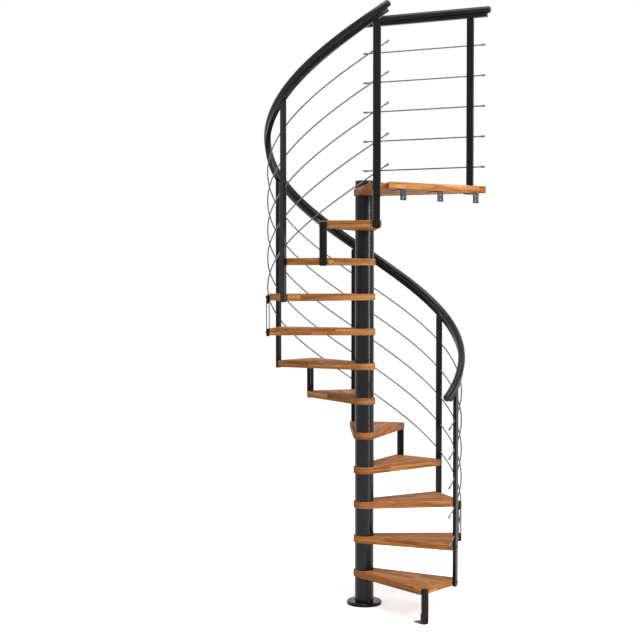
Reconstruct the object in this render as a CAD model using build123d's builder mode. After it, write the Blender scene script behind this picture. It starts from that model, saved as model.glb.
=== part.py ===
from build123d import *
from math import acos, atan, atan2, cos, degrees, hypot, radians, sin, tan
import os

# Spiral staircase: wedge treads threaded on a centre pole between column spacers, tied at
# their outer corners by flat posts, with a helical handrail, five helical rods and a landing.
# The origin is on the column's axis at floor level, +Z is up, the flight climbs
# counter-clockwise seen from above, and the landing's outer edge faces -Y.

# Flight
riser = 208.0
tread_count = 11
step_angle = 30.0
first_post_angle = -90.0

# Treads and landing
tread_thickness = 40.0
tread_reach = 570.0
hub_radius = 65.0
corner_overhang = 10.0
board_edge_chamfer = 2.5
landing_angle = 60.0
landing_reach = 605.0
landing_notch_room = 40.0

# Column
column_diameter = 113.0
column_wall = 4.0
pole_diameter = 40.0
pole_clearance = 0.5
flange_diameter = 210.0
flange_thickness = 20.0
flange_edge_chamfer = 4.0
flange_bolt_circle = 160.0
flange_bolt_hole = 11.0
flange_bolt_count = 4
flange_bolt_turn = 45.0
cap_height = 50.0
cap_wall = 4.0
cap_edge_chamfer = 3.0

# Posts
post_width = 40.0
post_depth = 20.0
post_edge_chamfer = 2.0
post_end_round = 8.0
post_drop = 6.0
post_setback = 8.0

# Handrail and guard rail
rail_height = 1103.0
grip_diameter = 42.0
grip_sides = 20
grip_flat_drop = 18.6
bar_width = 26.0
bar_height = 21.0
rail_gap = 0.4
rail_lower_overrun = 83.0
rail_upper_overrun = 68.0
grip_overhang = 12.0
end_cap_length = 18.0
end_cap_round = 13.0

# Rods
rod_count = 5
rod_sides = 8
rod_diameter = 8.0
rod_clearance = 0.8
rod_cap_diameter = 12.0
rod_cap_length = 24.0
rod_cap_end = 5.0
rod_cap_clearance = 0.3
rod_first_height = 265.0
rod_top_gap = 158.0
rod_lower_overhang = 68.0
rod_upper_overhang = 44.0

# Guard along the landing's far edge
guard_inner_place = 50.0
guard_outer_margin = 101.0
guard_rail_drop = 128.0
guard_rod_first_height = 114.0
guard_rod_overhang = 65.0
guard_bar_overhang = 101.0
guard_grip_overhang = 104.0

# Brackets
bracket_width = 40.0
bracket_thickness = 5.0
bracket_near_margin = 100.5
bracket_far_margin = 74.5
bracket_drop = 60.0
bracket_reach = 90.0
bracket_hole = 9.0
bracket_hole_margin = 15.0
foot_height = 60.0
foot_reach = 64.0

# Worked out from the driving sizes
post_radius = tread_reach + post_depth / 2
corner_half = post_width / 2 + corner_overhang
landing_level = (tread_count + 1) * riser
landing_underside = landing_level - tread_thickness
helix_pitch = riser * 360 / step_angle
helix_slope = atan(riser / (post_radius * radians(step_angle)))
grip_centre = bar_height + rail_gap + grip_flat_drop
rod_spacing = (rail_height - rod_first_height - rod_top_gap) / (rod_count - 1)
guard_rail_height = rail_height - guard_rail_drop
guard_rod_spacing = (guard_rail_height - guard_rod_first_height - rod_top_gap) / (rod_count - 1)
guard_rod_heights = [
    landing_level + guard_rod_first_height + rod * guard_rod_spacing for rod in range(rod_count)
]


def post_angle(number):
    return first_post_angle + number * step_angle


def arc_angle(length):
    return degrees(length / post_radius)


def outward(angle):
    return Vector(cos(radians(angle)), sin(radians(angle)), 0)


def along_helix(angle):
    return outward(angle + 90) * cos(helix_slope) + Vector(0, 0, 1) * sin(helix_slope)


def tangent_point(corner, side):
    # Where an edge from the given corner touches the hub, on its left (+1) or right (-1) side
    bearing = atan2(corner.Y, corner.X) + side * acos(hub_radius / hypot(corner.X, corner.Y))
    return Vector(hub_radius * cos(bearing), hub_radius * sin(bearing), 0)


def save(piece, name):
    piece.label = name
    export_step(piece, f"parts/{name}.step")


def ease_board(board):
    faces = board.faces().sort_by(Axis.Z)
    chamfer(faces[-1].outer_wire().edges() + faces[0].outer_wire().edges(), board_edge_chamfer)


def build_tread(number):
    half_step = step_angle / 2
    seat = outward(half_step) * tread_reach
    along_seat = outward(half_step + 90)
    outer_corner = seat + along_seat * corner_half
    inner_corner = seat - along_seat * corner_half
    hub_touch = tangent_point(outer_corner, 1)
    base = Plane(
        origin=(0, 0, number * riser - tread_thickness),
        x_dir=outward(post_angle(number) - half_step),
    )
    with BuildPart() as tread:
        with BuildSketch(base):
            with BuildLine():
                side = Polyline(
                    (inner_corner.X, 0),
                    (inner_corner.X, inner_corner.Y),
                    (outer_corner.X, outer_corner.Y),
                    (hub_touch.X, hub_touch.Y),
                )
                mirror(side, about=Plane.XZ)
                ThreePointArc(
                    (hub_touch.X, hub_touch.Y), (-hub_radius, 0), (hub_touch.X, -hub_touch.Y)
                )
            make_face()
            Circle(pole_diameter / 2 + pole_clearance, mode=Mode.SUBTRACT)
        extrude(amount=tread_thickness)
        ease_board(tread)
    return tread.part


# Landing corners, and the far edge that carries the guard and touches the hub
landing_seat = outward(post_angle(tread_count)) * tread_reach
landing_seat_run = outward(post_angle(tread_count) + 90)
near_corner = landing_seat - landing_seat_run * corner_half
notch_corner = landing_seat + landing_seat_run * (post_width / 2 + landing_notch_room)
notch_run = outward(post_angle(tread_count))
outer_near_corner = notch_corner - notch_run * ((notch_corner.Y + landing_reach) / notch_run.Y)
near_touch = tangent_point(near_corner, -1)
far_edge = outward(post_angle(tread_count) + landing_angle)
far_outward = outward(post_angle(tread_count) + landing_angle + 90)
far_touch = far_outward * hub_radius
far_edge_length = -(far_touch.Y + landing_reach) / far_edge.Y
outer_far_corner = far_touch + far_edge * far_edge_length
guard_post_spacing = far_edge_length - guard_inner_place - guard_outer_margin


def build_landing():
    hub_back = outward(post_angle(tread_count) + landing_angle / 2 + 180) * hub_radius
    with BuildPart() as landing:
        with BuildSketch(Plane.XY.offset(landing_underside)):
            with BuildLine():
                Polyline(
                    near_touch, near_corner, notch_corner, outer_near_corner,
                    outer_far_corner, far_touch,
                )
                ThreePointArc(far_touch, hub_back, near_touch)
            make_face()
            Circle(pole_diameter / 2 + pole_clearance, mode=Mode.SUBTRACT)
        extrude(amount=tread_thickness)
        ease_board(landing)
    return landing.part


def build_flange():
    with BuildPart() as flange:
        with BuildSketch():
            Circle(flange_diameter / 2)
        extrude(amount=flange_thickness)
        chamfer(flange.faces().sort_by(Axis.Z)[-1].edges(), flange_edge_chamfer)
        with BuildSketch():
            with PolarLocations(flange_bolt_circle / 2, flange_bolt_count, start_angle=flange_bolt_turn):
                Circle(flange_bolt_hole / 2)
        extrude(amount=flange_thickness, mode=Mode.SUBTRACT)
    return flange.part


def build_spacers():
    with BuildPart() as spacers:
        for step in range(tread_count + 1):
            start = step * riser if step else flange_thickness
            stop = (step + 1) * riser - tread_thickness
            with BuildSketch(Plane.XY.offset(start)):
                Circle(column_diameter / 2)
                Circle(column_diameter / 2 - column_wall, mode=Mode.SUBTRACT)
            extrude(amount=stop - start)
    return spacers.part


def build_pole():
    pole_top = landing_level + cap_height - cap_wall
    with BuildPart() as pole:
        with BuildSketch(Plane.XY.offset(flange_thickness)):
            Circle(pole_diameter / 2)
        extrude(amount=pole_top - flange_thickness)
    return pole.part


def build_cap():
    with BuildPart() as cap:
        with BuildSketch(Plane.XY.offset(landing_level)):
            Circle(column_diameter / 2)
        extrude(amount=cap_height)
        chamfer(cap.faces().sort_by(Axis.Z)[-1].edges(), cap_edge_chamfer)
        with BuildSketch(Plane.XY.offset(landing_level)):
            Circle(column_diameter / 2 - cap_wall)
        extrude(amount=cap_height - cap_wall, mode=Mode.SUBTRACT)
    return cap.part


def ease_post(post, facing):
    faces = post.faces().sort_by(Axis((0, 0, 0), facing))
    chamfer(faces[0].edges() + faces[-1].edges(), post_edge_chamfer)


def cut_rod_holes(planes):
    with BuildSketch(*planes) as holes:
        RegularPolygon(rod_diameter / 2 + rod_clearance, rod_sides)
    extrude(holes.sketch, amount=post_width, both=True, mode=Mode.SUBTRACT)


def post_face(angle):
    # The plane of a post's inner face: X along the treads' ends, Y up
    return Plane(
        origin=outward(angle) * tread_reach, x_dir=outward(angle + 90), z_dir=outward(angle)
    )


def build_floor_post():
    angle = post_angle(0)
    height = riser - post_setback
    with BuildPart() as post:
        with BuildSketch(post_face(angle)) as face:
            Rectangle(post_width, height, align=(Align.CENTER, Align.MIN))
            fillet(face.vertices().group_by(Axis.Z)[-1], post_end_round)
        extrude(amount=post_depth)
        ease_post(post, outward(angle))
    return post.part


def build_short_post(number):
    # Ties the back corner of one tread to the front corner of the next
    angle = post_angle(number)
    bottom = number * riser - tread_thickness - post_drop
    height = (number + 1) * riser - post_setback - bottom
    with BuildPart() as post:
        with BuildSketch(post_face(angle)):
            with Locations((0, bottom + height / 2)):
                RectangleRounded(post_width, height, post_end_round)
        extrude(amount=post_depth)
        ease_post(post, outward(angle))
    return post.part


def build_tall_post(number):
    # Runs up to the handrail, with its top cut to the rail's slope and a sloping hole for each rod
    angle = post_angle(number)
    half = post_width / 2
    tread_top = number * riser
    bottom = tread_top - tread_thickness - post_drop
    top = tread_top + rail_height - rail_gap / cos(helix_slope)
    lean = half * tan(helix_slope)
    rod_planes = [
        Plane(
            origin=outward(angle) * post_radius
            + Vector(0, 0, tread_top + rod_first_height + rod * rod_spacing),
            x_dir=outward(angle + 180),
            z_dir=along_helix(angle),
        )
        for rod in range(rod_count)
    ]
    with BuildPart() as post:
        with BuildSketch(post_face(angle)) as face:
            with BuildLine():
                Polyline(
                    (-half, bottom), (half, bottom), (half, top + lean), (-half, top - lean), close=True
                )
            make_face()
            fillet(face.vertices(), post_end_round)
        extrude(amount=post_depth)
        ease_post(post, outward(angle))
        cut_rod_holes(rod_planes)
    return post.part


def helix_path(lead_in, lead_out, height):
    # From before the first tall post to beyond the last one, at the given height over the treads
    start = post_angle(1) - arc_angle(lead_in)
    turn = post_angle(tread_count) + arc_angle(lead_out) - start
    start_height = riser + height - helix_pitch * arc_angle(lead_in) / 360
    helix = Helix(helix_pitch, helix_pitch * turn / 360, post_radius)
    return Pos(0, 0, start_height) * Rot(0, 0, start) * helix


def helix_start(path):
    # The section plane at a helix's lower end: X towards the column, Y up from the helix
    start = path @ 0
    return Plane(origin=start, x_dir=(-start.X, -start.Y, 0), z_dir=path % 0)


def helix_ends(path):
    # Planes at both ends that face out of the helix, each with Y up from it
    start = path @ 0
    stop = path @ 1
    return [
        Plane(origin=start, x_dir=(start.X, start.Y, 0), z_dir=-(path % 0)),
        Plane(origin=stop, x_dir=(-stop.X, -stop.Y, 0), z_dir=path % 1),
    ]


def bar_section(plane):
    with BuildSketch(plane) as section:
        with Locations((0, bar_height / 2)):
            Rectangle(bar_width, bar_height)
    return section.sketch


def grip_section(plane):
    with BuildSketch(plane) as section:
        with Locations((0, grip_centre)):
            RegularPolygon(grip_diameter / 2, grip_sides)
        with Locations((0, bar_height + rail_gap)):
            Rectangle(
                grip_diameter, grip_diameter, align=(Align.CENTER, Align.MAX), mode=Mode.SUBTRACT
            )
    return section.sketch


def handrail_path(overhang):
    return helix_path(rail_lower_overrun + overhang, rail_upper_overrun + overhang, rail_height)


def build_handrail(section, overhang):
    path = handrail_path(overhang)
    with BuildPart() as rail:
        sweep(section(helix_start(path)), path=path, is_frenet=True)
    return rail.part


def rod_path(rod):
    lower_reach = post_width / 2 + rod_lower_overhang
    upper_reach = post_width / 2 + rod_upper_overhang
    return helix_path(lower_reach, upper_reach, rod_first_height + rod * rod_spacing)


def build_rod(rod):
    path = rod_path(rod)
    with BuildPart() as helical_rod:
        with BuildSketch(helix_start(path)):
            RegularPolygon(rod_diameter / 2, rod_sides)
        sweep(path=path, is_frenet=True)
    return helical_rod.part


def guard_place(along, height):
    return far_touch + far_edge * along + far_outward * (post_depth / 2) + Vector(0, 0, height)


def guard_section_plane(along, height):
    return Plane(origin=guard_place(along, height), x_dir=far_outward, z_dir=far_edge)


def build_guard_post(along):
    bottom = landing_underside - post_drop
    top = landing_level + guard_rail_height - rail_gap
    face = Plane(origin=far_touch + far_edge * along, x_dir=far_edge * -1, z_dir=far_outward)
    with BuildPart() as post:
        with BuildSketch(face):
            with Locations((0, (bottom + top) / 2)):
                RectangleRounded(post_width, top - bottom, post_end_round)
        extrude(amount=post_depth)
        ease_post(post, far_outward)
        cut_rod_holes([guard_section_plane(along, height) for height in guard_rod_heights])
    return post.part


def build_guard_rail(section, overhang):
    length = guard_post_spacing + 2 * overhang
    start = guard_section_plane(guard_inner_place - overhang, landing_level + guard_rail_height)
    with BuildPart() as rail:
        extrude(section(start), amount=length)
    return rail.part


def guard_ends(overhang, height):
    # Planes that face out of the guard at both ends, each with Y up
    first = guard_inner_place - overhang
    last = guard_inner_place + guard_post_spacing + overhang
    return [
        Plane(origin=guard_place(first, height), x_dir=far_outward * -1, z_dir=far_edge * -1),
        guard_section_plane(last, height),
    ]


def build_grip_cap(plane):
    # A round-nosed plug as wide as the grip, cut flat where the bar runs under it
    with BuildPart() as cap:
        with BuildSketch(plane):
            with Locations((0, grip_centre)):
                Circle(grip_diameter / 2)
        extrude(amount=end_cap_length)
        nose = cap.faces().sort_by(Axis(plane.origin, plane.z_dir))[-1]
        fillet(nose.edges(), end_cap_round)
        with BuildSketch(plane):
            with Locations((0, bar_height + rail_gap)):
                Rectangle(grip_diameter, grip_diameter, align=(Align.CENTER, Align.MAX))
        extrude(amount=end_cap_length, mode=Mode.SUBTRACT)
    return cap.part


def build_grip_caps():
    planes = helix_ends(handrail_path(grip_overhang))
    planes += guard_ends(guard_grip_overhang, landing_level + guard_rail_height)
    with BuildPart() as caps:
        for plane in planes:
            add(build_grip_cap(plane))
    return caps.part


def build_rod_cap(plane):
    # A blind sleeve pushed over a rod's end
    pocket = rod_cap_length - rod_cap_end
    mouth = plane.offset(-pocket)
    with BuildPart() as cap:
        with BuildSketch(mouth):
            RegularPolygon(rod_cap_diameter / 2, rod_sides)
        extrude(amount=rod_cap_length)
        with BuildSketch(mouth):
            RegularPolygon(rod_diameter / 2 + rod_cap_clearance, rod_sides)
        extrude(amount=pocket + rod_cap_clearance, mode=Mode.SUBTRACT)
    return cap.part


def build_rod_caps():
    with BuildPart() as caps:
        for rod in range(rod_count):
            for plane in helix_ends(rod_path(rod)):
                add(build_rod_cap(plane))
    return caps.part


def build_guard_rods():
    # Straight rods, each with a cap on both ends
    reach = post_width / 2 + guard_rod_overhang
    with BuildPart() as rods:
        for height in guard_rod_heights:
            with BuildSketch(guard_section_plane(guard_inner_place - reach, height)):
                RegularPolygon(rod_diameter / 2, rod_sides)
            extrude(amount=guard_post_spacing + 2 * reach)
            for plane in guard_ends(reach, height):
                add(build_rod_cap(plane))
    return rods.part


def draw_angle(plane, leg, reach):
    # An angle section: its leg on the local Y axis, its plate along local -X
    with BuildSketch(plane) as section:
        with BuildLine():
            Polyline(
                (0, 0), (0, leg), (-bracket_thickness, leg), (-bracket_thickness, bracket_thickness),
                (-reach, bracket_thickness), (-reach, 0), close=True,
            )
        make_face()
    return section.sketch


def build_landing_brackets():
    first = outer_near_corner.X + bracket_near_margin
    last = outer_far_corner.X - bracket_far_margin
    with BuildPart() as brackets:
        for place in (first, (first + last) / 2, last):
            corner = Vector(place, -landing_reach, landing_underside)
            section_plane = Plane(origin=corner, x_dir=(0, -1, 0), z_dir=(1, 0, 0))
            extrude(
                draw_angle(section_plane, bracket_drop, bracket_reach),
                amount=bracket_width / 2, both=True,
            )
            leg_face = Plane(origin=corner, x_dir=(1, 0, 0), z_dir=(0, -1, 0))
            with BuildSketch(leg_face):
                with Locations(
                    (0, -bracket_drop + bracket_hole_margin),
                    (0, -bracket_thickness - bracket_hole_margin),
                ):
                    Circle(bracket_hole / 2)
            extrude(amount=-bracket_thickness, mode=Mode.SUBTRACT)
    return brackets.part


def build_floor_bracket():
    angle = post_angle(0)
    corner = outward(angle) * tread_reach
    section_plane = Plane(origin=corner, x_dir=outward(angle), z_dir=outward(angle - 90))
    with BuildPart() as bracket:
        extrude(
            draw_angle(section_plane, foot_height, foot_reach), amount=post_width / 2, both=True
        )
        with BuildSketch(Plane(origin=corner, x_dir=outward(angle))):
            with Locations((-foot_reach + bracket_hole_margin, 0)):
                Circle(bracket_hole / 2)
        extrude(amount=bracket_thickness, mode=Mode.SUBTRACT)
    return bracket.part


os.makedirs("parts", exist_ok=True)
save(build_flange(), "base_flange")
save(build_spacers(), "column_spacers")
save(build_pole(), "centre_pole")
save(build_cap(), "column_cap")
for number in range(1, tread_count + 1):
    save(build_tread(number), f"tread_{number:02d}")
save(build_landing(), "landing")
save(build_floor_post(), "post_00")
for number in range(1, tread_count + 1):
    build_post = build_tall_post if number % 2 else build_short_post
    save(build_post(number), f"post_{number:02d}")
save(build_handrail(bar_section, 0), "handrail_bar")
save(build_handrail(grip_section, grip_overhang), "handrail_grip")
for rod in range(rod_count):
    save(build_rod(rod), f"rod_{rod + 1}")
save(build_guard_post(guard_inner_place), "guard_post_inner")
save(build_guard_post(guard_inner_place + guard_post_spacing), "guard_post_outer")
save(build_guard_rail(bar_section, guard_bar_overhang), "guard_rail_bar")
save(build_guard_rail(grip_section, guard_grip_overhang), "guard_rail_grip")
save(build_guard_rods(), "guard_rods")
save(build_grip_caps(), "grip_end_caps")
save(build_rod_caps(), "rod_end_caps")
save(build_landing_brackets(), "landing_brackets")
save(build_floor_bracket(), "floor_bracket")
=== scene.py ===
from math import cos, pi, radians, sin

import bmesh
import bpy
from mathutils import Matrix, Vector


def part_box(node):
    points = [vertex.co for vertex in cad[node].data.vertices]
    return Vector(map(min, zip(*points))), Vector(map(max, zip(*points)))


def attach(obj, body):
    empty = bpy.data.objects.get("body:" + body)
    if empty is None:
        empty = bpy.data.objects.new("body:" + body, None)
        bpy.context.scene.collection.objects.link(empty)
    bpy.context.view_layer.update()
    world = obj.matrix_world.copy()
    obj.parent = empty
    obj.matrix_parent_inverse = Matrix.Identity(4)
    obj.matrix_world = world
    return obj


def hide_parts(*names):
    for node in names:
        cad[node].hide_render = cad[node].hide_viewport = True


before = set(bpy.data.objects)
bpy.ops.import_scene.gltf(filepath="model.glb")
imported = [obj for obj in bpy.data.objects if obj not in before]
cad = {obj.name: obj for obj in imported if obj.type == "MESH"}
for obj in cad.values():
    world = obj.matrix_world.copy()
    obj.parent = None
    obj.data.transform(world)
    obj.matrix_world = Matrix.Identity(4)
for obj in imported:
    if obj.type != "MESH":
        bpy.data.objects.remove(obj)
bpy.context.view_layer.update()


def named(start):
    return sorted(name for name in cad if name.startswith(start))


# Camera, as it stood for the photograph: near the height of an upper tread, tipped a little down
camera_azimuth = -36.45
camera_distance = 7.89
camera_height = 1.983
camera_pitch = -1.96
camera_yaw = 1.94
camera_sight = 100.0
image_side = 640
focal_pixels = 1314.7
sensor_width = 36.0

# Flight, as model.glb has it
tread_names = named("tread_")
post_names = named("post_")
guard_post_names = named("guard_post_")
rod_names = named("rod_") + ["guard_rods"]
step_angle = 30.0
first_post_angle = -90.0
guard_facing = 30.0
tread_tops = [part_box(name)[1].z for name in tread_names] + [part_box("landing")[1].z]
board_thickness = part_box("landing")[1].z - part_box("landing")[0].z
post_reach = -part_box("post_00")[0].y
post_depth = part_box("post_00")[1].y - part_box("post_00")[0].y
post_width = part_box("post_00")[1].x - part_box("post_00")[0].x

# Short posts: pairs of flats, joined where they hold the boards
short_post_numbers = range(2, len(post_names), 2)
flat_thickness = 0.0042
flat_joint_drop = 0.020

# White, for the light and for the wood between its pores
white = (1, 1, 1, 1)

# Wood: laminated staves that run along each board
stave_length = 0.34
stave_width = 0.043
stave_joint = 0.0006
stave_joint_blur = 0.4
stave_offset_share = 0.41
stave_offset_rows = 2
stave_jump = (7.0, 3.0, 5.0)
stave_light = (1.10, 1.08, 1.05, 1)
stave_dark = (0.84, 0.79, 0.74, 1)
board_shift = (0.173, 0.0197, 0)
wood_dark = (0.15, 0.052, 0.015, 1)
wood_middle = (0.42, 0.172, 0.055, 1)
wood_light = (0.68, 0.350, 0.138, 1)
wood_pore = (0.55, 0.47, 0.42, 1)
wood_joint = (0.62, 0.55, 0.50, 1)
wood_roughness = (0.52, 0.42)
wood_specular = 0.02
figure_stretch = (2.2, 52, 36)
figure_noise = {"Scale": 1.0, "Detail": 6.0, "Roughness": 0.66, "Distortion": 0.7}
figure_stops = ((0.30, wood_dark), (0.50, wood_middle), (0.68, wood_light))
pore_stretch = (14, 620, 260)
pore_noise = {"Scale": 1.0, "Detail": 3.0, "Roughness": 0.5, "Distortion": 0.2}
pore_stops = ((0.30, wood_pore), (0.44, white))
pore_strength = 0.10
pore_depth = 0.0006

# Paint: a baked coat, black on all but the grey brackets, with less shine on the posts
column_paint = {
    "dark": (0.004, 0.004, 0.006, 1), "light": (0.008, 0.008, 0.011, 1),
    "roughness": 0.23, "specular": 0.24,
}
post_paint = {
    "dark": (0.004, 0.004, 0.005, 1), "light": (0.007, 0.007, 0.009, 1),
    "roughness": 0.20, "specular": 0.14,
}
grip_paint = {
    "dark": (0.003, 0.003, 0.004, 1), "light": (0.006, 0.006, 0.007, 1),
    "roughness": 0.20, "specular": 0.24,
}
bracket_paint = {
    "dark": (0.030, 0.032, 0.046, 1), "light": (0.050, 0.052, 0.072, 1),
    "roughness": 0.36, "specular": 0.25,
}
paint_cloud = {"Scale": 9.0, "Detail": 3.0, "Roughness": 0.5}
paint_cloud_places = (0.35, 0.65)
paint_peel = {"Scale": 900.0, "Detail": 2.0, "Roughness": 0.5}
paint_peel_strength = 0.02
paint_peel_depth = 0.0002
paint_roughness_swing = 0.03

# Bare steel of the rods and of the pole inside the column
rod_finish = {
    "dark": (0.11, 0.11, 0.113, 1), "light": (0.155, 0.155, 0.159, 1), "roughness": 0.32,
}
pole_finish = {
    "dark": (0.45, 0.45, 0.45, 1), "light": (0.55, 0.55, 0.55, 1), "roughness": 0.3,
}
steel_cloud = {"Scale": 60.0, "Detail": 4.0, "Roughness": 0.6}
steel_cloud_places = (0.3, 0.7)
steel_roughness_swing = 0.05

# Shading shared by the materials
even_stretch = (1, 1, 1)
noise_low = 0.3
noise_high = 0.7
flat_face_rise = 0.5
flat_sharp_angle = 50
round_sharp_angle = 35
grip_sharp_angle = 40
rod_sharp_angle = 60
arris_weight = 90

# Screws: domed heads with a socket
screw_radius = 0.0075
screw_height = 0.0042
screw_socket = 0.0028
screw_sides = 24
socket_depth_share = 0.55
socket_floor_share = 0.9
socket_rim_share = 0.93
crown_degrees = (66, 52, 38, 24, 10, 0)

# Studio: white ground and background, a gridded strip at the right, a raised box and one overhead
world_level = 0.42
floor_half_side = 7.0
floor_drop = 0.001
floor_lift = 0.62
floor_finish = {
    "Base Color": (0.86, 0.86, 0.86, 1), "Roughness": 0.9, "Specular IOR Level": 0.1,
    "Emission Color": white,
}
key_softbox = {
    "azimuth": 60, "distance": 3.2, "height": 1.75, "aim_height": 1.60,
    "width": 0.5, "tall": 3.4, "power": 3.3, "spread": 25,
}
front_softbox = {
    "azimuth": 32, "distance": 6.5, "height": 5.2, "aim_height": 1.5,
    "width": 2.6, "tall": 2.2, "power": 205, "spread": 180,
}
top_softbox = {
    "azimuth": 30, "distance": 1.5, "height": 6.5, "aim_height": 0.0,
    "width": 4.0, "tall": 4.0, "power": 255, "spread": 180,
}


def outward(angle):
    return Vector((cos(radians(angle)), sin(radians(angle)), 0))


def post_angle(number):
    return first_post_angle + number * step_angle


def add_object(name, data):
    piece = bpy.data.objects.new(name, data)
    bpy.context.scene.collection.objects.link(piece)
    return piece


def add_node(tree, kind, **settings):
    node = tree.nodes.new(kind)
    for name, value in settings.items():
        setattr(node, name, value)
    return node


def start_material(name):
    material = bpy.data.materials.new(name)
    material.use_nodes = True
    tree = material.node_tree
    return material, tree, tree.nodes["Principled BSDF"]


def set_inputs(node, values):
    for name, value in values.items():
        node.inputs[name].default_value = value


def object_coordinates(tree):
    return add_node(tree, "ShaderNodeTexCoord").outputs["Object"]


def moved(tree, vector, turn, shift):
    mapping = add_node(tree, "ShaderNodeMapping")
    set_inputs(mapping, {"Rotation": (0, 0, turn), "Location": shift})
    tree.links.new(vector, mapping.inputs["Vector"])
    return mapping.outputs["Vector"]


def edge_coordinates(tree, vector):
    # On a board's edges the grain runs level: X along the edge, Y up
    normal = add_node(tree, "ShaderNodeNewGeometry").outputs["True Normal"]
    level = add_node(tree, "ShaderNodeVectorMath", operation="CROSS_PRODUCT")
    level.inputs[1].default_value = (0, 0, 1)
    along = add_node(tree, "ShaderNodeVectorMath", operation="DOT_PRODUCT")
    place = add_node(tree, "ShaderNodeSeparateXYZ")
    joined = add_node(tree, "ShaderNodeCombineXYZ")
    tree.links.new(normal, level.inputs[0])
    tree.links.new(vector, along.inputs[0])
    tree.links.new(level.outputs["Vector"], along.inputs[1])
    tree.links.new(vector, place.inputs["Vector"])
    tree.links.new(along.outputs["Value"], joined.inputs["X"])
    tree.links.new(place.outputs["Z"], joined.inputs["Y"])
    return joined.outputs["Vector"], normal


def board_coordinates(tree, turn, shift):
    # Along the board on its flat faces, level on its edges
    vector = object_coordinates(tree)
    edge, normal = edge_coordinates(tree, vector)
    rise = add_node(tree, "ShaderNodeSeparateXYZ")
    size = add_node(tree, "ShaderNodeMath", operation="ABSOLUTE")
    flat = add_node(tree, "ShaderNodeMath", operation="GREATER_THAN")
    flat.inputs[1].default_value = flat_face_rise
    chosen = add_node(tree, "ShaderNodeMix", data_type="VECTOR")
    tree.links.new(normal, rise.inputs["Vector"])
    tree.links.new(rise.outputs["Z"], size.inputs[0])
    tree.links.new(size.outputs["Value"], flat.inputs[0])
    tree.links.new(flat.outputs["Value"], chosen.inputs["Factor"])
    tree.links.new(moved(tree, edge, 0, shift), chosen.inputs["A"])
    tree.links.new(moved(tree, vector, turn, shift), chosen.inputs["B"])
    return chosen.outputs["Result"]


def stretched_noise(tree, vector, stretch, settings):
    mapping = add_node(tree, "ShaderNodeMapping")
    mapping.inputs["Scale"].default_value = stretch
    noise = add_node(tree, "ShaderNodeTexNoise")
    set_inputs(noise, settings)
    tree.links.new(vector, mapping.inputs["Vector"])
    tree.links.new(mapping.outputs["Vector"], noise.inputs["Vector"])
    return noise.outputs["Fac"]


def colour_ramp(tree, factor, stops):
    ramp = add_node(tree, "ShaderNodeValToRGB")
    elements = ramp.color_ramp.elements
    for position, _ in stops[1:-1]:
        elements.new(position)
    for element, (position, colour) in zip(elements, stops):
        element.position = position
        element.color = colour
    tree.links.new(factor, ramp.inputs["Fac"])
    return ramp.outputs["Color"]


def multiply(tree, first, second):
    mix = add_node(tree, "ShaderNodeMix", data_type="RGBA", blend_type="MULTIPLY")
    mix.inputs["Factor"].default_value = 1
    tree.links.new(first, mix.inputs["A"])
    tree.links.new(second, mix.inputs["B"])
    return mix.outputs["Result"]


def map_range(tree, value, low, high):
    ranged = add_node(tree, "ShaderNodeMapRange")
    set_inputs(ranged, {
        "From Min": noise_low, "From Max": noise_high, "To Min": low, "To Max": high,
    })
    tree.links.new(value, ranged.inputs["Value"])
    return ranged.outputs["Result"]


def bump(tree, height, strength, distance):
    node = add_node(tree, "ShaderNodeBump")
    set_inputs(node, {"Strength": strength, "Distance": distance})
    tree.links.new(height, node.inputs["Height"])
    return node.outputs["Normal"]


def stave_pattern(tree, vector):
    staves = add_node(
        tree, "ShaderNodeTexBrick", offset=stave_offset_share, offset_frequency=stave_offset_rows
    )
    set_inputs(staves, {
        "Color1": stave_light, "Color2": stave_dark, "Mortar": wood_joint, "Scale": 1,
        "Mortar Size": stave_joint, "Mortar Smooth": stave_joint_blur, "Bias": 0,
        "Brick Width": stave_length, "Row Height": stave_width,
    })
    tree.links.new(vector, staves.inputs["Vector"])
    return staves.outputs["Color"]


def grain_coordinates(tree, vector, stave_colour):
    # Each stave is cut from another place in the log
    jump = add_node(tree, "ShaderNodeVectorMath", operation="MULTIPLY_ADD")
    jump.inputs[1].default_value = stave_jump
    tree.links.new(stave_colour, jump.inputs[0])
    tree.links.new(vector, jump.inputs[2])
    return jump.outputs["Vector"]


def wood_material(name, angle, seed):
    material, tree, shader = start_material(name)
    shift = tuple(length * seed for length in board_shift)
    vector = board_coordinates(tree, radians(-angle), shift)
    stave_colour = stave_pattern(tree, vector)
    grain = grain_coordinates(tree, vector, stave_colour)
    figure = stretched_noise(tree, grain, figure_stretch, figure_noise)
    pores = stretched_noise(tree, grain, pore_stretch, pore_noise)
    colour = colour_ramp(tree, figure, figure_stops)
    colour = multiply(tree, colour, colour_ramp(tree, pores, pore_stops))
    colour = multiply(tree, colour, stave_colour)
    tree.links.new(colour, shader.inputs["Base Color"])
    tree.links.new(map_range(tree, figure, *wood_roughness), shader.inputs["Roughness"])
    tree.links.new(bump(tree, pores, pore_strength, pore_depth), shader.inputs["Normal"])
    shader.inputs["Specular IOR Level"].default_value = wood_specular
    return material


def paint_material(name, dark, light, roughness, specular):
    # A baked coat with a fine orange peel and a faint cloud in its depth
    material, tree, shader = start_material(name)
    vector = object_coordinates(tree)
    cloud = stretched_noise(tree, vector, even_stretch, paint_cloud)
    peel = stretched_noise(tree, vector, even_stretch, paint_peel)
    colour = colour_ramp(tree, cloud, tuple(zip(paint_cloud_places, (dark, light))))
    gloss = map_range(
        tree, peel, roughness - paint_roughness_swing, roughness + paint_roughness_swing
    )
    tree.links.new(colour, shader.inputs["Base Color"])
    tree.links.new(gloss, shader.inputs["Roughness"])
    tree.links.new(bump(tree, peel, paint_peel_strength, paint_peel_depth), shader.inputs["Normal"])
    shader.inputs["Specular IOR Level"].default_value = specular
    return material


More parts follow.
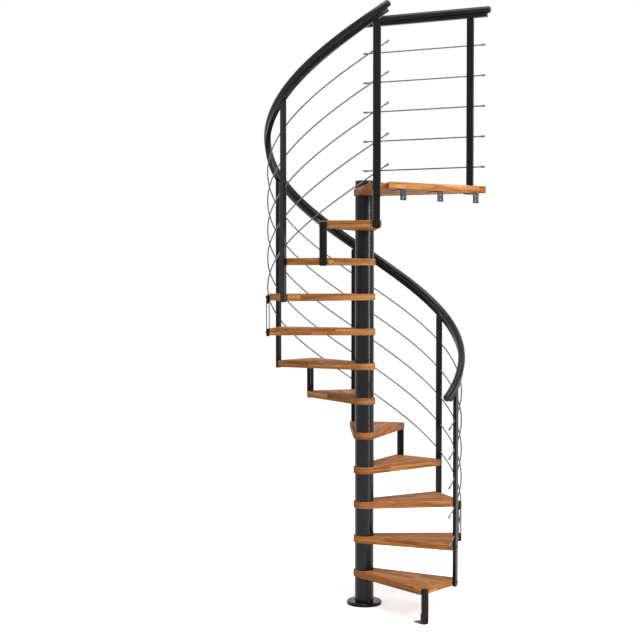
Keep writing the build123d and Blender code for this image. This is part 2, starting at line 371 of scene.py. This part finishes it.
def steel_material(name, dark, light, roughness):
    material, tree, shader = start_material(name)
    cloud = stretched_noise(tree, object_coordinates(tree), even_stretch, steel_cloud)
    colour = colour_ramp(tree, cloud, tuple(zip(steel_cloud_places, (dark, light))))
    gloss = map_range(
        tree, cloud, roughness + steel_roughness_swing, roughness - steel_roughness_swing
    )
    tree.links.new(colour, shader.inputs["Base Color"])
    tree.links.new(gloss, shader.inputs["Roughness"])
    shader.inputs["Metallic"].default_value = 1
    return material


def smooth_faces(mesh, sharp_angle):
    mesh.polygons.foreach_set("use_smooth", [True] * len(mesh.polygons))
    mesh.set_sharp_from_angle(angle=radians(sharp_angle))


def dress(names, material, sharp_angle):
    for name in names:
        piece = cad[name]
        for slot in piece.material_slots:
            slot.material = material
        smooth_faces(piece.data, sharp_angle)


def dress_boards():
    for number, name in enumerate(tread_names, start=1):
        along = post_angle(number) - step_angle / 2
        dress([name], wood_material(f"oak_{name}", along, number), flat_sharp_angle)
    landing_wood = wood_material("oak_landing", 0, len(tread_names) + 1)
    dress(["landing"], landing_wood, flat_sharp_angle)


def soften_arrises(names):
    # Broad faces stay flat, and their narrow chamfers shade as rounded arrises
    for name in names:
        softened = cad[name].modifiers.new("soft_arrises", "WEIGHTED_NORMAL")
        softened.weight = arris_weight
        softened.keep_sharp = True


def gap_block(number):
    # The open space between a short post's two flats, from one board to the next
    angle = post_angle(number)
    bottom = tread_tops[number - 1]
    top = tread_tops[number] - board_thickness - flat_joint_drop
    place = outward(angle) * (post_reach - post_depth / 2)
    place.z = (bottom + top) / 2
    size = (post_depth - 2 * flat_thickness, 2 * post_width, top - bottom, 1)
    turn = Matrix.Rotation(radians(angle), 4, "Z")
    shape = bmesh.new()
    bmesh.ops.create_cube(
        shape, size=1, matrix=Matrix.Translation(place) @ turn @ Matrix.Diagonal(size)
    )
    mesh = bpy.data.meshes.new(f"gap_{number:02d}")
    shape.to_mesh(mesh)
    shape.free()
    return add_object(mesh.name, mesh)


def add_paired_flats(number, material):
    node = post_names[number]
    piece = add_object(f"{node}_flats", cad[node].data.copy())
    block = gap_block(number)
    opened = piece.modifiers.new("opened", "BOOLEAN")
    opened.object = block
    opened.solver = "EXACT"
    shaped = piece.evaluated_get(bpy.context.evaluated_depsgraph_get())
    mesh = bpy.data.meshes.new_from_object(shaped)
    piece.modifiers.clear()
    piece.data = mesh
    bpy.data.objects.remove(block)
    mesh.materials.clear()
    mesh.materials.append(material)
    mesh.polygons.foreach_set("material_index", [0] * len(mesh.polygons))
    mesh.set_sharp_from_angle(angle=radians(flat_sharp_angle))
    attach(piece, "root")
    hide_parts(node)


def revolve(mesh, profile, sides, matrix):
    # Adds a body of revolution to the mesh: profile is (radius, height) from the axis to the rim
    rings = []
    for radius, height in profile:
        ring = [
            mesh.verts.new(matrix @ Vector((radius * cos(turn), radius * sin(turn), height)))
            for turn in (2 * pi * side / sides for side in range(sides))
        ]
        rings.append(ring)
    mesh.faces.new(rings[0])
    for inner, outer in zip(rings, rings[1:]):
        for side in range(sides):
            following = (side + 1) % sides
            mesh.faces.new((inner[side], outer[side], outer[following], inner[following]))
    mesh.faces.new(list(reversed(rings[-1])))


def screw_profile():
    depth = screw_height * socket_depth_share
    crown = [
        (screw_radius * cos(turn), screw_height * sin(turn))
        for turn in (radians(degree) for degree in crown_degrees)
    ]
    return [
        (screw_socket * socket_floor_share, screw_height - depth),
        (screw_socket, screw_height * socket_rim_share),
    ] + crown


def facing(place, direction):
    return Matrix.Translation(place) @ direction.to_track_quat("Z", "Y").to_matrix().to_4x4()


def middle(name):
    low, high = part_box(name)
    return (low + high) / 2


def post_screw_places():
    # One screw through each post into each board that it meets
    places = []
    for number in range(len(post_names)):
        direction = outward(post_angle(number))
        for board in (number - 1, number):
            if board >= 0:
                height = tread_tops[board] - board_thickness / 2
                places.append((direction * post_reach + Vector((0, 0, height)), direction))
    return places


def guard_screw_places():
    direction = outward(guard_facing)
    places = []
    for name in guard_post_names:
        place = middle(name) + direction * (post_depth / 2)
        place.z = tread_tops[-1] - board_thickness / 2
        places.append((place, direction))
    return places


def add_screws(name, places, material):
    # places is a list of (place, direction the head faces)
    shape = bmesh.new()
    for place, direction in places:
        revolve(shape, screw_profile(), screw_sides, facing(place, direction))
    bmesh.ops.recalc_face_normals(shape, faces=shape.faces)
    mesh = bpy.data.meshes.new(name)
    shape.to_mesh(mesh)
    shape.free()
    smooth_faces(mesh, flat_sharp_angle)
    mesh.materials.append(material)
    piece = add_object(name, mesh)
    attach(piece, "root")


def add_camera():
    data = bpy.data.cameras.new("camera")
    data.sensor_width = sensor_width
    data.lens = sensor_width * focal_pixels / image_side
    data.clip_end = camera_sight
    camera = add_object("camera", data)
    turn = radians(camera_azimuth)
    camera.location = (camera_distance * sin(turn), -camera_distance * cos(turn), camera_height)
    camera.rotation_euler = (radians(90 + camera_pitch), 0, turn + radians(camera_yaw))
    bpy.context.scene.camera = camera


def add_softbox(name, azimuth, distance, height, aim_height, width, tall, power, spread):
    # azimuth is counted from the camera's side of the column, positive to the viewer's right
    turn = radians(camera_azimuth + azimuth)
    place = Vector((distance * sin(turn), -distance * cos(turn), height))
    data = bpy.data.lights.new(name, "AREA")
    data.shape = "RECTANGLE"
    data.size = width
    data.size_y = tall
    data.energy = power
    data.spread = radians(spread)
    lamp = add_object(name, data)
    lamp.location = place
    lamp.rotation_euler = (Vector((0, 0, aim_height)) - place).to_track_quat("-Z", "Y").to_euler()


def seen_directly(tree):
    # 1 for rays that show the background: straight from the camera, in gloss, or through glass
    path = add_node(tree, "ShaderNodeLightPath")
    total = path.outputs["Is Camera Ray"]
    for name in ("Is Glossy Ray", "Is Transmission Ray"):
        most = add_node(tree, "ShaderNodeMath", operation="MAXIMUM")
        tree.links.new(total, most.inputs[0])
        tree.links.new(path.outputs[name], most.inputs[1])
        total = most.outputs["Value"]
    return total


def strength_by_sight(tree, unseen, seen):
    strength = add_node(tree, "ShaderNodeMapRange")
    set_inputs(strength, {"To Min": unseen, "To Max": seen})
    tree.links.new(seen_directly(tree), strength.inputs["Value"])
    return strength.outputs["Result"]


def add_world():
    world = bpy.data.worlds.new("studio")
    world.use_nodes = True
    tree = world.node_tree
    background = tree.nodes["Background"]
    background.inputs["Color"].default_value = white
    tree.links.new(strength_by_sight(tree, world_level, 1), background.inputs["Strength"])
    bpy.context.scene.world = world


def add_floor():
    material, tree, shader = start_material("studio_floor")
    set_inputs(shader, floor_finish)
    tree.links.new(strength_by_sight(tree, 0, floor_lift), shader.inputs["Emission Strength"])
    shape = bmesh.new()
    corners = [(-1, -1), (1, -1), (1, 1), (-1, 1)]
    shape.faces.new([
        shape.verts.new((x * floor_half_side, y * floor_half_side, 0)) for x, y in corners
    ])
    mesh = bpy.data.meshes.new("floor")
    shape.to_mesh(mesh)
    shape.free()
    mesh.materials.append(material)
    floor = add_object("floor", mesh)
    floor.location.z = -floor_drop


column_black = paint_material("column_black", **column_paint)
black_steel = paint_material("black_steel", **post_paint)
grip_black = paint_material("grip_black", **grip_paint)
bracket_steel = paint_material("bracket_steel", **bracket_paint)
rod_steel = steel_material("rod_steel", **rod_finish)
bare_steel = steel_material("bare_steel", **pole_finish)

dress_boards()
dress(["column_spacers", "column_cap"], column_black, round_sharp_angle)
dress(["base_flange"], black_steel, round_sharp_angle)
dress(post_names + guard_post_names, black_steel, flat_sharp_angle)
soften_arrises(tread_names + ["landing"] + post_names + guard_post_names)
dress(["handrail_bar", "guard_rail_bar"], black_steel, round_sharp_angle)
dress(["handrail_grip", "guard_rail_grip", "grip_end_caps"], grip_black, grip_sharp_angle)
dress(rod_names, rod_steel, rod_sharp_angle)
dress(["landing_brackets", "floor_bracket"], bracket_steel, round_sharp_angle)
dress(["centre_pole"], bare_steel, round_sharp_angle)
for number in short_post_numbers:
    add_paired_flats(number, black_steel)
add_screws("post_screws", post_screw_places() + guard_screw_places(), black_steel)

add_camera()
add_world()
add_floor()
add_softbox("key_softbox", **key_softbox)
add_softbox("front_softbox", **front_softbox)
add_softbox("top_softbox", **top_softbox)
bpy.context.scene.view_settings.view_transform = "Standard"
